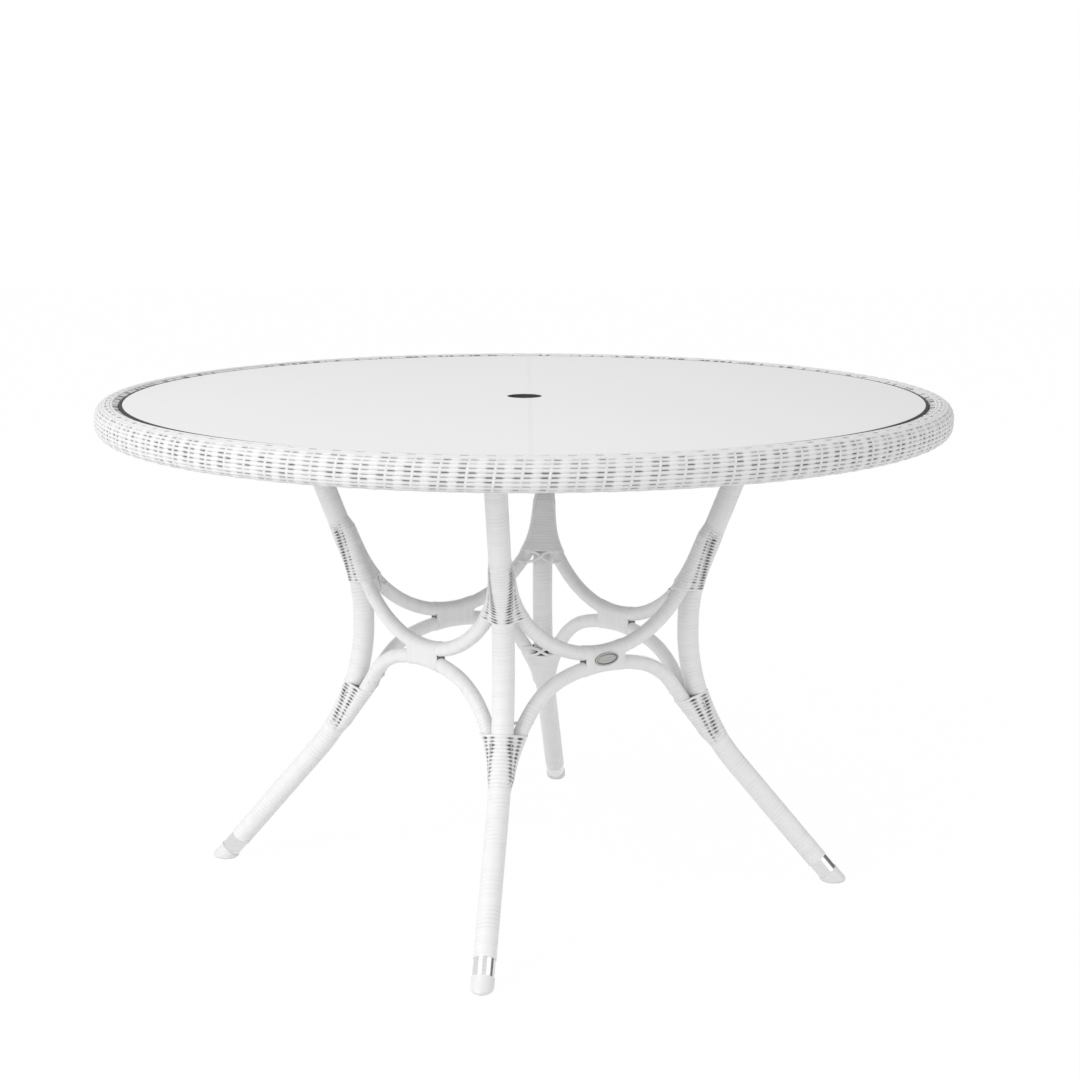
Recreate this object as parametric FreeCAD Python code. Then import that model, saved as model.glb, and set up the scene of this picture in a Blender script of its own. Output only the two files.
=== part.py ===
import FreeCAD, Part
import math
import os

from FreeCAD import Vector

# Round garden table: a woven rim holds a glass top, over a four-legged base of wrapped poles
# that are tied to bent arches. Millimetres, +Z up, origin on the floor under the table's axis.

# Table top
table_radius = 650.0
table_height = 768.0
rim_width = 50.0
rim_depth = 50.0
glass_thickness = 8.0
glass_drop = 4.0
glass_edge_gap = 1.5
rebate_depth = 35.7
glass_edge_round = 2.0
hole_radius = 26.0
hole_chamfer = 0.8

# Frame under the glass
hoop_width = 30.0
hoop_depth = 24.0
hoop_inset = 10.0
hoop_wall = 2.0
rail_width = 30.0
rail_depth = 20.0
rail_wall = 2.0
guide_bore = 25.0
guide_wall = 4.0
guide_length = 36.0
pad_radius = 5.0
pad_height = 3.0
pad_gap = 0.2
ledge_pad_count = 8
rail_pad_reach = 0.45
base_ring_width = 42.0
base_ring_thickness = 6.0
bolt_radius = 4.0
bolt_clearance = 0.2
bolt_head_flats = 13.0
bolt_head_height = 5.5
bolt_end = 4.0

# Poles
leg_count = 4
base_turn = -6.8
pole_radius = 16.5
waist_radius = 256.5
waist_bottom = 402.5
waist_top = 412.5
foot_splay = 40.3
foot_bend = 329.0
head_splay = 21.2
head_bend = 278.0

# Feet
glide_length = 20.0
glide_round = 5.0
glide_radius = 16.5
collar_length = 26.0
collar_radius = 15.6
spigot_radius = 12.0
spigot_gap = 0.15

# Arches between the poles
rod_radius = 11.0
side_reach = 190.0
side_height = 386.5
rod_spacing = 18.5
crown_radius = 200.0
crown_turn = 50.0
crown_lean = 1.0
upper_end_height = 562.5
lower_flank_reach = 140.0
lower_flank_drop = 53.0
lower_flank_turn = 52.0
lower_end_height = 224.5
end_inset = 8.0
end_spread = 7.0

# Bindings
binding_skin = 1.2
binding_gap = 0.3
upper_binding_rise = 82.0
lower_binding_drop = 84.0
binding_overrun = 4.0
binding_step = 16.0
path_points = 400
side_binding_reach = 38.0

# Levels and radii that follow from the sizes above
quarter = 360.0 / leg_count
rim_centre_radius = table_radius - rim_width / 2
rim_centre_height = table_height - rim_depth / 2
glass_top_level = table_height - glass_drop
glass_bottom_level = glass_top_level - glass_thickness
seat_level = glass_bottom_level - pad_gap - pad_height
rebate_radius = table_radius - rebate_depth
glass_radius = rebate_radius - glass_edge_gap
hoop_outer = table_radius - hoop_inset
hoop_inner = hoop_outer - hoop_width
hoop_top = seat_level - hoop_wall
rail_bottom = seat_level - rail_depth
ring_bottom = rail_bottom - base_ring_thickness
guide_outer = guide_bore + guide_wall
upper_binding_bottom = side_height + upper_binding_rise
upper_binding_top = upper_end_height + binding_overrun
lower_binding_bottom = lower_end_height - binding_overrun
lower_binding_top = side_height - lower_binding_drop


def on_pole(radius, height):
    """A point in the vertical plane of the first pole, which stands to the front."""
    return Vector(0, -radius, height)


def on_side(across, out, height):
    """A point by a side's own axes: across it, out from the table's axis, and up."""
    return Vector(across, -out, height)


def bend_angle(height):
    """The pole's lean at a height: below the waist it is the foot's, above it the head's."""
    if height < waist_bottom:
        sine = (waist_bottom - height) / foot_bend
        return min(math.asin(min(sine, 1.0)), math.radians(foot_splay))
    sine = max(height - waist_top, 0.0) / head_bend
    return min(math.asin(min(sine, 1.0)), math.radians(head_splay))


def pole_reach(height):
    """The distance of the pole's centre line from the table's axis at a height."""
    lean = bend_angle(height)
    below = height < waist_bottom
    bend = foot_bend if below else head_bend
    rise = (waist_bottom - height) if below else max(height - waist_top, 0.0)
    arc = waist_radius + bend * (1 - math.cos(lean))
    return arc + (rise - bend * math.sin(lean)) * math.tan(lean)


def arc_edge(start, corner, end):
    """The arc from start to end whose tangents there meet at the corner, or a straight edge."""
    middle = (start + end) * 0.5
    chord = end - start
    turn = (corner - start).getAngle(chord)
    if turn < 1e-5:
        return Part.makeLine(start, end)
    rise = (corner - middle).normalize() * (chord.Length / 2 * math.tan(turn / 2))
    return Part.Arc(start, middle + rise, end).toShape()


def biarc(start, start_way, end, end_way):
    """Two arcs that leave start and reach end in the given ways and meet smoothly."""
    span = end - start
    ways = start_way + end_way
    along = span.dot(ways)
    spread = 2 * (1 - start_way.dot(end_way))
    if spread < 1e-9:
        reach = span.dot(span) / (4 * span.dot(end_way))
    else:
        reach = (math.sqrt(along * along + spread * span.dot(span)) - along) / spread
    first = start + start_way * reach
    second = end - end_way * reach
    joint = (first + second) * 0.5
    return [arc_edge(start, first, joint), arc_edge(joint, second, end)]


def tube_along(edges, radius):
    """A round bar of one radius along a smooth path of straight runs and arcs."""
    runs = []
    for edge in edges:
        start, end = edge.valueAt(edge.FirstParameter), edge.valueAt(edge.LastParameter)
        disc = Part.Face(Part.Wire(Part.makeCircle(radius, start, edge.tangentAt(edge.FirstParameter))))
        if edge.Curve.TypeId == "Part::GeomLine":
            runs.append(disc.extrude(end - start))
        else:
            turn = math.degrees(edge.LastParameter - edge.FirstParameter)
            runs.append(disc.revolve(edge.Curve.Center, edge.Curve.Axis, turn))
    return runs[0].multiFuse(runs[1:]).removeSplitter()


def turned_about_axis(outline):
    """A body of revolution about the table's axis from a closed outline at the right."""
    return Part.Face(outline).revolve(Vector(0, 0, 0), Vector(0, 0, 1), 360)


def ring_bar(inner, outer, bottom, top):
    """A flat ring about the table's axis."""
    disc = Part.makeCylinder(outer, top - bottom, Vector(0, 0, bottom))
    return disc.cut(Part.makeCylinder(inner, top - bottom, Vector(0, 0, bottom)))


def turned(shape, angle):
    """A copy turned about the table's axis."""
    copy = shape.copy()
    copy.rotate(Vector(0, 0, 0), Vector(0, 0, 1), angle)
    return copy


def foot_axis():
    """Where the pole's centre line meets the floor, and the way it climbs from there."""
    lean = math.radians(foot_splay)
    return on_pole(pole_reach(0.0), 0.0), on_pole(-math.sin(lean), math.cos(lean))


def pole_path(start, top):
    """The pole's centre line from its foot end, straight, bent, upright, bent, straight."""
    foot = math.radians(foot_splay)
    head = math.radians(head_splay)
    low = on_pole(pole_reach(waist_bottom - foot_bend * math.sin(foot)),
                  waist_bottom - foot_bend * math.sin(foot))
    waist_low = on_pole(waist_radius, waist_bottom)
    waist_high = on_pole(waist_radius, waist_top)
    high = on_pole(pole_reach(waist_top + head_bend * math.sin(head)),
                   waist_top + head_bend * math.sin(head))
    low_corner = on_pole(waist_radius, waist_bottom - foot_bend * math.tan(foot / 2))
    high_corner = on_pole(waist_radius, waist_top + head_bend * math.tan(head / 2))
    return [
        Part.makeLine(start, low),
        arc_edge(low, low_corner, waist_low),
        Part.makeLine(waist_low, waist_high),
        arc_edge(waist_high, high_corner, high),
        Part.makeLine(high, top),
    ]


def make_pole():
    """One wrapped pole, cut level at its head where the base ring is welded to it."""
    floor, climb = foot_axis()
    start = floor + climb * (glide_length + collar_length)
    above = ring_bottom + pole_radius
    pole = tube_along(pole_path(start, on_pole(pole_reach(above), above)), pole_radius)
    size = 4 * pole_radius
    head = Part.makeBox(size, size, size, Vector(-size / 2, -pole_reach(above) - size / 2, ring_bottom))
    return pole.cut(head)


def make_glide():
    """The moulded foot: cut level on the floor, rounded there, with a spigot for the collar."""
    floor, climb = foot_axis()
    reach = pole_radius * 2
    block = Part.makeCylinder(glide_radius, glide_length + reach, floor - climb * reach, climb)
    below = Part.makeBox(8 * reach, 8 * reach, 4 * reach,
                         Vector(-4 * reach, -pole_reach(0.0) - 4 * reach, -4 * reach))
    block = block.cut(below)
    sole = [edge for edge in block.Edges if edge.BoundBox.ZMax < 0.01]
    block = block.makeFillet(glide_round, sole)
    seat = floor + climb * glide_length
    spigot = Part.makeCylinder(spigot_radius, collar_length - spigot_gap, seat, climb)
    return block.fuse(spigot).removeSplitter()


def make_collar():
    """The polished collar between the glide and the pole's end."""
    floor, climb = foot_axis()
    seat = floor + climb * glide_length
    bore = spigot_radius + spigot_gap
    sleeve = Part.makeCylinder(collar_radius, collar_length, seat, climb)
    return sleeve.cut(Part.makeCylinder(bore, collar_length, seat, climb))


def end_point(height, rising):
    """Where an arch's end lies against its pole, and the way it runs there."""
    lean = bend_angle(height)
    reach = pole_reach(height) - end_inset / math.cos(lean)
    half = math.sqrt(0.5)
    point = on_side((reach - end_spread) * half, (reach + end_spread) * half, height)
    out = math.sin(lean) * half
    return point, on_side(out, out, math.cos(lean) * rising)


def mirrored(point, way):
    """The same point and way on the other half of a side, met in reverse order."""
    return Vector(-point.x, point.y, point.z), Vector(way.x, -way.y, -way.z)


def arch_path(stops):
    """A symmetric arch from its crown out through the stops, both ways."""
    stops = [mirrored(*stop) for stop in reversed(stops[1:])] + stops
    edges = []
    for (start, start_way), (end, end_way) in zip(stops, stops[1:]):
        edges += biarc(start, start_way, end, end_way)
    return edges


def upper_arch_path():
    """The U that hangs between two pole heads."""
    turn = math.radians(crown_turn)
    level = side_height + rod_spacing / 2
    flank = on_side(crown_radius * math.sin(turn), side_reach + crown_lean,
                    level + crown_radius * (1 - math.cos(turn)))
    return arch_path([
        (on_side(0, side_reach, level), Vector(1, 0, 0)),
        (flank, on_side(math.cos(turn), 0, math.sin(turn))),
        end_point(upper_end_height, 1),
    ])


def lower_arch_path():
    """The inverted U that stands between two feet."""
    turn = math.radians(lower_flank_turn)
    level = side_height - rod_spacing / 2
    flank = on_side(lower_flank_reach, side_reach + crown_lean, level - lower_flank_drop)
    return arch_path([
        (on_side(0, side_reach, level), Vector(1, 0, 0)),
        (flank, on_side(math.cos(turn), 0, -math.sin(turn))),
        end_point(lower_end_height, -1),
    ])


def make_arch(path, pole, above):
    """A bent rod in its own quarter, scribed to both poles and flat where it meets the other arch."""
    sector = Part.makeCylinder(table_radius, table_height, Vector(0, 0, 0), Vector(0, 0, 1), quarter)
    rod = tube_along(path, rod_radius).common(turned(sector, -90 - quarter / 2))
    for side in (-quarter / 2, quarter / 2):
        rod = rod.cut(turned(pole, side))
    width = 2 * side_binding_reach
    block = Part.makeBox(width, 4 * rod_radius, 2 * rod_radius,
                         Vector(-width / 2, -side_reach - 2 * rod_radius,
                                side_height - (2 * rod_radius if above else 0)))
    return rod.cut(block)


def crossing(points, origin, normal):
    """Where a line of points passes through a plane, and how much its slant widens a rod's section."""
    heights = [(point - origin).dot(normal) for point in points]
    for (a, b), (high, low) in zip(zip(points, points[1:]), zip(heights, heights[1:])):
        if high * low <= 0 and high != low:
            return a + (b - a) * (high / (high - low)), (b - a).Length / abs(high - low)
    nearest = min(range(len(points)), key=lambda i: abs(heights[i]))
    return points[nearest], 1.0


def hull_outline(place, pole_r, inset, spread, rod_r):
    """The tight outline round a pole and the two rods beside it, in a plane across the pole."""
    gap = math.hypot(inset, spread)
    swing = math.atan2(spread, inset) + math.acos((pole_r - rod_r) / gap)
    marks = []
    for sign in (1, -1):
        normal = (math.cos(swing), sign * math.sin(swing))
        middle = (math.cos(swing / 2), sign * math.sin(swing / 2))
        marks.append([
            place(pole_r * normal[0], pole_r * normal[1]),
            place(inset + rod_r * normal[0], sign * spread + rod_r * normal[1]),
            place(inset + rod_r * middle[0], sign * spread + rod_r * middle[1]),
            place(inset + rod_r, sign * spread),
        ])
    right, left = marks
    return Part.Wire([
        Part.Arc(left[0], place(-pole_r, 0), right[0]).toShape(),
        Part.makeLine(right[0], right[1]),
        Part.Arc(right[1], right[2], right[3]).toShape(),
        Part.makeLine(right[3], left[3]),
        Part.Arc(left[3], left[2], left[1]).toShape(),
        Part.makeLine(left[1], left[0]),
    ])


def spaced(start, end):
    """Even places from start to end, no further apart than the bindings' step."""
    count = math.ceil((end - start) / binding_step)
    return [start + (end - start) * place / count for place in range(count + 1)]


def binding_sleeve(sections):
    """A thin skin of peel lofted through outlines, each drawn by a function of its slack."""
    outside = Part.makeLoft([section(binding_gap + binding_skin) for section in sections], True, True)
    inside = Part.makeLoft([section(binding_gap) for section in sections], True, True)
    return outside.cut(inside)


def pole_binding_section(line, height):
    """The outline round a pole and its two rods at a height, for a given slack."""
    lean = bend_angle(height) * (1 if height > waist_bottom else -1)
    origin = on_pole(pole_reach(height), height)
    inward = on_pole(-math.cos(lean), math.sin(lean))
    point, slant = crossing(line, origin, on_pole(math.sin(lean), math.cos(lean)))
    rod = point - origin
    inset = rod.dot(inward)

    def place(depth, across):
        return origin + inward * depth + Vector(across, 0, 0)

    def section(slack):
        width = max(rod_radius * slant, pole_radius - inset) + slack
        return hull_outline(place, pole_radius + slack, inset, abs(rod.x), width)

    return section


def make_pole_binding(path, bottom, top):
    """The peel bound round a pole and the two arch ends beside it, from bottom to top."""
    line = turned(Part.Wire(path), quarter / 2).discretize(Number=path_points)
    line = [point for point in line if abs(point.x) < -point.y]
    return binding_sleeve([pole_binding_section(line, height) for height in spaced(bottom, top)])


def side_binding_section(lines, across):
    """The outline round the two arches at a place across a side, for a given slack."""
    (high, high_slant), (low, low_slant) = [
        crossing(line, Vector(across, 0, 0), Vector(1, 0, 0)) for line in lines]

    def section(slack):
        high_out = Vector(0, rod_radius * high_slant + slack, 0)
        low_out = Vector(0, rod_radius * low_slant + slack, 0)
        return Part.Wire([
            Part.Arc(high - high_out, high + Vector(0, 0, high_out.y), high + high_out).toShape(),
            Part.makeLine(high + high_out, low + low_out),
            Part.Arc(low + low_out, low - Vector(0, 0, low_out.y), low - low_out).toShape(),
            Part.makeLine(low - low_out, high - high_out),
        ])

    return section


def make_side_binding(upper_path, lower_path):
    """The peel bound round the two arches where they meet at the middle of a side."""
    lines = [Part.Wire(path).discretize(Number=path_points) for path in (upper_path, lower_path)]
    places = spaced(-side_binding_reach, side_binding_reach)
    return binding_sleeve([side_binding_section(lines, across) for across in places])


def make_glass():
    """The round pane with its ground edge and the hole for a parasol pole."""
    pane = Part.makeCylinder(glass_radius, glass_thickness, Vector(0, 0, glass_bottom_level))
    pane = pane.makeFillet(glass_edge_round, [e for e in pane.Edges if e.Closed])
    pane = pane.cut(Part.makeCylinder(hole_radius, glass_thickness, Vector(0, 0, glass_bottom_level)))
    rims = [e for e in pane.Edges
            if e.Closed and abs(e.BoundBox.XLength - 2 * hole_radius) < 0.01]
    return pane.makeChamfer(hole_chamfer, rims)


def oval(centre, width, depth):
    """An upright oval of four arcs whose tangents agree where they meet, at 45 degrees."""
    half_width, half_depth = width / 2, depth / 2
    slope = math.sqrt(0.5)
    side_radius = half_depth + (half_depth - half_width) / (2 * slope - 1) * (1 - slope)
    across = half_width - side_radius * (1 - slope)
    up = side_radius * slope
    corners = [Vector(x, 0, z) for x, z in ((across, up), (-across, up), (-across, -up), (across, -up))]
    crowns = [Vector(0, 0, half_depth), Vector(-half_width, 0, 0)]
    crowns += [-crown for crown in crowns]
    return Part.Wire([
        Part.Arc(centre + start, centre + crown, centre + end).toShape()
        for start, crown, end in zip(corners, crowns, corners[1:] + corners[:1])
    ])


def make_rim():
    """The woven roll: an oval section with a rebate for the glass and a channel for the hoop."""
    roll = turned_about_axis(oval(Vector(rim_centre_radius, 0, rim_centre_height), rim_width, rim_depth))
    rebate = Part.makeCylinder(rebate_radius, rim_depth, Vector(0, 0, seat_level))
    channel = ring_bar(hoop_inner, hoop_outer, hoop_top - hoop_depth, hoop_top)
    roll = roll.cut(rebate).cut(channel)
    for rail in range(4):
        roll = roll.cut(turned(rail_block(rail_width, rail_depth), 90 * rail))
    return roll


def make_hoop():
    """The box-section hoop inside the rim."""
    wall = hoop_wall
    outside = ring_bar(hoop_inner, hoop_outer, hoop_top - hoop_depth, hoop_top)
    return outside.cut(ring_bar(hoop_inner + wall, hoop_outer - wall,
                                hoop_top - hoop_depth + wall, hoop_top - wall))


def rail_block(width, depth):
    """A straight bar from the table's axis out to the hoop, along the right-hand side."""
    drop = (rail_depth - depth) / 2
    bar = Part.makeBox(hoop_inner + 1, width, depth, Vector(0, -width / 2, rail_bottom + drop))
    return bar.common(Part.makeCylinder(hoop_inner, table_height))


def make_rail():
    """A box-section rail from the parasol guide to the hoop, drilled for its base bolt."""
    rail = rail_block(rail_width, rail_depth)
    rail = rail.cut(rail_block(rail_width - 2 * rail_wall, rail_depth - 2 * rail_wall))
    rail = rail.cut(Part.makeCylinder(guide_outer, table_height))
    return rail.cut(bolt_hole())


def bolt_hole():
    """The clearance hole for a base bolt, from under the base ring into the rail."""
    foot = Vector(pole_reach(ring_bottom), 0, ring_bottom)
    return Part.makeCylinder(bolt_radius + bolt_clearance, base_ring_thickness + rail_wall + 1, foot)


def make_bolt():
    """A hexagon bolt that holds the base ring up to a rail."""
    foot = Vector(pole_reach(ring_bottom), 0, ring_bottom)
    corner = bolt_head_flats / 2 / math.cos(math.pi / 6)
    low = foot - Vector(0, 0, bolt_head_height)
    angles = [math.radians(60 * side) for side in range(7)]
    points = [low + Vector(corner * math.cos(angle), corner * math.sin(angle), 0) for angle in angles]
    head = Part.Face(Part.makePolygon(points)).extrude(Vector(0, 0, bolt_head_height))
    length = base_ring_thickness + rail_wall + bolt_end
    return head.fuse(Part.makeCylinder(bolt_radius, length, foot)).removeSplitter()


def make_base_ring():
    """The flat ring welded on the pole heads, drilled for the bolts."""
    middle = pole_reach(ring_bottom)
    ring = ring_bar(middle - base_ring_width / 2, middle + base_ring_width / 2, ring_bottom, rail_bottom)
    for rail in range(4):
        ring = ring.cut(turned(bolt_hole(), 90 * rail))
    return ring


def make_pads():
    """The soft pads under the glass, on the rim's ledge and on the rails."""
    ledge = rebate_radius - pad_radius - glass_edge_gap
    places = [(ledge, 360.0 * (k + 0.5) / ledge_pad_count) for k in range(ledge_pad_count)]
    places += [(glass_radius * rail_pad_reach, 90.0 * k) for k in range(4)]
    return [turned(Part.makeCylinder(pad_radius, pad_height, Vector(reach, 0, seat_level)), angle)
            for reach, angle in places]


def write(name, shapes):
    """Write one named piece, or a group of separate alike pieces, to its own file."""
    solids = [solid for shape in shapes for solid in shape.Solids]
    whole = solids[0] if len(solids) == 1 else Part.makeCompound(solids)
    whole.exportStep(os.path.join("parts", name + ".step"))


def build():
    """Make every piece and write it."""
    os.makedirs("parts", exist_ok=True)
    pole = make_pole()
    upper_path, lower_path = upper_arch_path(), lower_arch_path()
    upper = make_arch(upper_path, pole, True)
    lower = make_arch(lower_path, pole, False)
    at_legs = {
        "leg": pole,
        "foot_collar": make_collar(),
        "foot_glide": make_glide(),
        "upper_binding": make_pole_binding(upper_path, upper_binding_bottom, upper_binding_top),
        "lower_binding": make_pole_binding(lower_path, lower_binding_bottom, lower_binding_top),
    }
    at_sides = {
        "upper_arch": upper,
        "lower_arch": lower,
        "side_binding": make_side_binding(upper_path, lower_path),
    }
    for turn, name in enumerate(("front", "right", "back", "left")):
        for piece, shape in at_legs.items():
            write(piece + "_" + name, [turned(shape, base_turn + quarter * turn)])
    for turn, name in enumerate(("front_right", "back_right", "back_left", "front_left")):
        for piece, shape in at_sides.items():
            write(piece + "_" + name, [turned(shape, base_turn + quarter * (turn + 0.5))])
    rail = make_rail()
    for turn, name in enumerate(("right", "back", "left", "front")):
        write("rail_" + name, [turned(rail, 90 * turn)])
    write("glass_top", [make_glass()])
    write("rim_weave", [make_rim()])
    write("rim_hoop", [make_hoop()])
    write("parasol_guide", [ring_bar(guide_bore, guide_outer, seat_level - guide_length, seat_level)])
    write("base_ring", [make_base_ring()])
    write("base_bolts", [turned(make_bolt(), 90 * k) for k in range(4)])
    write("glass_pads", make_pads())


build()
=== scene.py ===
import math
import random

import bmesh
import bpy
from mathutils import Matrix, Vector


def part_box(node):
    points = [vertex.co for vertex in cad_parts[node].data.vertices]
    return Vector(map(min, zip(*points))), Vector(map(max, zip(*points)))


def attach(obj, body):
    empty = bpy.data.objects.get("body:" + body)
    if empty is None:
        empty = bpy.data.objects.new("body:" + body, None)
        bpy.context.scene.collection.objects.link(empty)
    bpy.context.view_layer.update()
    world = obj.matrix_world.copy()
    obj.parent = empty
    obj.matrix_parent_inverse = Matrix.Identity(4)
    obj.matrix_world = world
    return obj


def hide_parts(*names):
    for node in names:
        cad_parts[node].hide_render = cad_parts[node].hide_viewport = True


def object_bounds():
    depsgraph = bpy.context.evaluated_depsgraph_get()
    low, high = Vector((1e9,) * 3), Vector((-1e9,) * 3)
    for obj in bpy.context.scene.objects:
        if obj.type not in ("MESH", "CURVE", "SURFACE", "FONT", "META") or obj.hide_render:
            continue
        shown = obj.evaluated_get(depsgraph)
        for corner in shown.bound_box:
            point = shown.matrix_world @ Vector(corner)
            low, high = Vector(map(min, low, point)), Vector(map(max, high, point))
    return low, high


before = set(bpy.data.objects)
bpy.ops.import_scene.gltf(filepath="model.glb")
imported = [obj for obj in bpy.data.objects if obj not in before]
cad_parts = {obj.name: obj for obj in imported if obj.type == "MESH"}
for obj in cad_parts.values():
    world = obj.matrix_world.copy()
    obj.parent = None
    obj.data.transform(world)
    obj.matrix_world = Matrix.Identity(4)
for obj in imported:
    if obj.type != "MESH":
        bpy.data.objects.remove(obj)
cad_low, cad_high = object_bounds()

# Metres, +Z up, origin on the floor under the table's axis, as in the frame.

# Woven rim: a full roll, with a valley and a ledge beside the glass
rim_radius, table_height = cad_high.x, cad_high.z
rim_size = 0.050
rim_fullness = 2.7
rim_outline_steps = 1440
crown_drop = 0.0010
rebate_radius, valley_radius = 0.6143, 0.6215
ledge_level, valley_floor = 0.7528, 0.7632
padding_depth, padding_every, padding_turns = 0.75, 24, 236

# Its rows of strand, counted from the glass, and the stakes that cross them, one to a group
rim_groups, group_steps = 118, 12
rows, row_width = 21, 0.00616
row_slant, row_shift = 0.026, -0.11
strand_thickness = 0.0034
strand_sides = 8
strand_sink, strand_lift, strand_overlap = 0.0006, 0.00035, 1.06
stake_width, stake_levels = 0.0048, 28
stake_section = ((-0.0014, -0.5), (0.0, -0.28), (0.0, 0.28), (-0.0014, 0.5))
stake_sink = 0.0010

# Its gaps, where the strands pinch apart over the padding's painted shade and carry painted shade at their
# sides: on both sides of each stake from one row on, and on one side in the border
first_gap_row = 4
gap_seed, gap_strengths = 11, (0.35, 1.1)
gap_start, gap_end = 0.0095, 0.0132
gap_pinch = 0.20
border_row, border_start, border_end = 2, -0.0150, -0.0045
border_strength = 1.6

# Poles
waist_radius, waist_bottom, waist_top = 0.2565, 0.4025, 0.4125
foot_bend, head_bend = 0.329, 0.278
foot_splay, head_splay = math.radians(40.3), math.radians(21.2)
base_turn = math.radians(-6.8)
pole_radius, pole_foot_length, pole_steps = 0.0165, 0.046, 400
head_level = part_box("base_ring")[0].z

# Arches
rod_radius, arc_steps = 0.011, 40
side_reach, side_height, rod_spacing = 0.190, 0.3865, 0.0185
crown_radius, crown_turn, crown_lean = 0.200, math.radians(50), 0.001
lower_flank_reach, lower_flank_drop = 0.140, 0.053
lower_flank_turn = math.radians(52)
upper_end_height, lower_end_height = 0.5625, 0.2245
end_inset, end_spread = 0.008, 0.007

# Peel windings
pole_pitch, rod_pitch = 0.0062, 0.0058
groove_depth = 0.00008
pole_sides, rod_sides = 24, 16
rings_per_turn = 5

# Bindings: their skin over the pole and rods, and the groove between two strands, with the painted shade in
# it
binding_skin = 0.0011
binding_points = 84
binding_rings_per_turn = 6
binding_groove, side_binding_groove, groove_shade = 0.0004, 0.00012, 200
seam_sharpness, opening_sharpness = 5.0, 2.2
upper_binding_pitch, lower_binding_pitch, side_binding_pitch = 0.0045, 0.0052, 0.0042
upper_binding_ends = (0.4685, 0.5665)
lower_binding_ends = (0.3025, 0.2245)
side_binding_reach, side_binding_fade, side_binding_dent = 0.038, 0.012, 0.0040
binding_fade = 0.018
lip_depth, lip_radius = 0.0018, 0.0014

# Their pits, beside the pole and beside a rod, where the strands span a gap, painted dark as shade
pit_depth, pit_fade, pit_shade = 0.0030, 0.012, 2.8
pit_place_by_pole, pit_place_by_rod = -0.02, 0.72
pit_width_by_pole, pit_width_by_rod, pit_span = 0.19, 0.16, 0.013
opening_by_pole, opening_by_rod = (0.0010, 0.002), (0.0055, 0.004)  # least span, and more to open
pit_strengths = ((0.35, 1.25), (0.25, 1.0))
upper_pit_seed, upper_rod_pits = 3, 0.5
lower_pit_seed, lower_rod_pits = 8, 0.9
no_pits, closed_count = (0.0, 0.0, 1.0), 9.0

# Lashings
lashing_width, lashing_thickness, lashing_drop = 0.0046, 0.0018, 0.015
lashing_spacing, lashing_lift, lashing_sides = 0.0012, 0.0005, 10
lashing_bends = ((-0.3, 0.95), (0.8, 0.7), (1.05, -0.1))

# Pane: where the painted shade round its edge and in its hole and its painted darker underside begin, and
# where the painted shadow of a rail under it runs
edge_shade_reach, hole_shade_reach = (0.6070, 0.6078), (0.0264, 0.0270)
pane_underside = (0.7568, 0.7576)
rail_shadow_place, rail_shadow_width = 0.008, (0.001, 0.005)

# Studio
camera_lens, camera_place = 68.727, (0.0, -3.1580, 1.1463)
camera_tilt, camera_pan = math.radians(10.8999), math.radians(0.43793)
camera_roll = math.radians(0.07840)
world_level = 0.72
dim_corner, dim_edge, dim_depth = (0.88, 0.47, 0.0), (0.45, 0.95), 0.8
lamps = (("key", (-2.7, -2.5, 2.4), 2.4, 76), ("fill", (2.8, -1.6, 1.8), 2.4, 14))
lamp_target = Vector((0, 0, 0.45))
floor_reach, floor_tone = 14.0, 0.92
floor_glow, floor_glow_share = 1.01, 0.955

# Plate
plate_length, plate_height, plate_thickness = 0.0450, 0.0200, 0.0020
plate_offset, plate_rise, plate_lift = -0.003, 0.0015, 0.0002
plate_border, plate_groove_width, plate_groove_depth = 0.0020, 0.0007, 0.0009
plate_field_border, plate_field_rise = 0.0012, 0.0004
rivet_radius, rivet_place = 0.0019, 0.35

LEGS = ("front", "right", "back", "left")
SIDES = ("front_right", "back_right", "back_left", "front_left")


class Value:
    """A socket in a finish, so that sums written on it add the nodes that work them out."""

    def __init__(self, finish, socket):
        self.finish = finish
        self.socket = socket

    def maths(self, operation, *others):
        inputs = {place: value for place, value in enumerate((self,) + others)}
        return self.finish.node("ShaderNodeMath", {"operation": operation}, inputs)

    def __add__(self, other):
        return self.maths("ADD", other)

    def __sub__(self, other):
        return self.maths("SUBTRACT", other)

    def __rsub__(self, other):
        return self.finish.node("ShaderNodeMath", {"operation": "SUBTRACT"}, {0: other, 1: self})

    def __mul__(self, other):
        return self.maths("MULTIPLY", other)

    def __pow__(self, other):
        return self.maths("POWER", other)

    def __abs__(self):
        return self.maths("ABSOLUTE")

    __radd__ = __add__
    __rmul__ = __mul__

    def floor(self):
        return self.maths("FLOOR")

    def fraction(self):
        return self.maths("FRACT")

    def smooth(self, low, high):
        """0 below low, 1 above high, and a soft step between."""
        return self.finish.node(
            "ShaderNodeMapRange", {"interpolation_type": "SMOOTHSTEP"},
            {"Value": self, "From Min": low, "From Max": high, "To Min": 0.0, "To Max": 1.0})


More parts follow.
